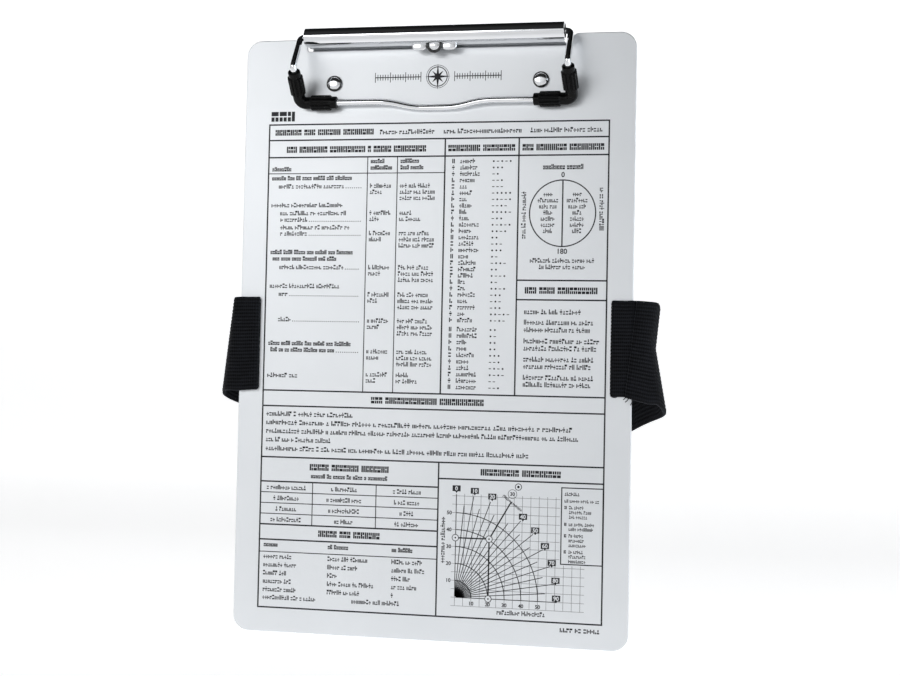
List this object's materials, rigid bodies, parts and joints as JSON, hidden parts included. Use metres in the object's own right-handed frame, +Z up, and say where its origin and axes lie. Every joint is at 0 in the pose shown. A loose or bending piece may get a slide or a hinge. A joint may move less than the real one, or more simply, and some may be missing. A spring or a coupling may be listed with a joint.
{
  "type": "pilot kneeboard",
  "caption": "Sheet-aluminium pilot's kneeboard with a wire-bail spring clip, rubber-sleeved bail corners and an elastic leg strap closed by hook-and-loop.",
  "frame": {"origin": "centre of the board's back face, where it lies on the thigh", "axes": "+X to the right seen from the printed side, +Y through the board towards the thigh, +Z up the board towards the clip"},
  "size_m": [0.1751, 0.0528, 0.2316],
  "materials": {
    "board_aluminium": "satin anodised, black screen print",
    "clip_chrome": "polished chrome plate",
    "wire_chrome": "polished chrome plate on spring wire",
    "rivet_chrome": "polished chrome plate",
    "anchor_steel": "plain zinc",
    "bush_nylon": "black nylon",
    "sleeve_rubber": "satin moulded rubber",
    "elastic": "knitted elastic webbing",
    "hook_tape": "hook tape",
    "loop_tape": "brushed loop tape",
    "thread": "polyester thread"
  },
  "bodies": {
    "board": {"board_plate": "board_aluminium", "clip_base": "clip_chrome", "anchor_rivet": "rivet_chrome", "torsion_anchor": "anchor_steel", "barrel_bush_left": "bush_nylon", "barrel_bush_right": "bush_nylon", "rivet_left": "rivet_chrome", "rivet_right": "rivet_chrome", "strap_loop_left": "elastic", "strap_loop_right": "elastic", "loop_seam_left": "thread", "loop_seam_right": "thread"},
    "bail": {"bail_wire": "wire_chrome", "grip_sleeve_left": "sleeve_rubber", "grip_sleeve_right": "sleeve_rubber"},
    "outer_strap": {"strap_right": "elastic", "hook_patch": "hook_tape", "hook_patch_stitching": "thread"},
    "inner_strap": {"strap_left": "elastic", "loop_patch": "loop_tape", "loop_patch_stitching": "thread"}
  },
  "joints": [
    {"name": "bail_pivot", "type": "hinge", "parent": "board", "child": "bail", "pos_m": [0, -0.0081, 0.1138], "axis": [-1, 0, 0], "range_deg": [0, 95], "stiffness_Nm_per_rad": 0.12, "springref_deg": -68.75},
    {"name": "outer_strap_swing", "type": "hinge", "parent": "board", "child": "outer_strap", "pos_m": [0.0792, -0.0008, -0.0038], "axis": [0, 0, -1], "range_deg": [0, 105]},
    {"name": "inner_strap_swing", "type": "hinge", "parent": "board", "child": "inner_strap", "pos_m": [-0.0792, -0.0008, -0.0038], "axis": [0, 0, 1], "range_deg": [0, 52.5]}
  ],
  "couplings": [
    {"joint": "inner_strap_swing", "follows": "outer_strap_swing", "ratio": 0.48}
  ]
}
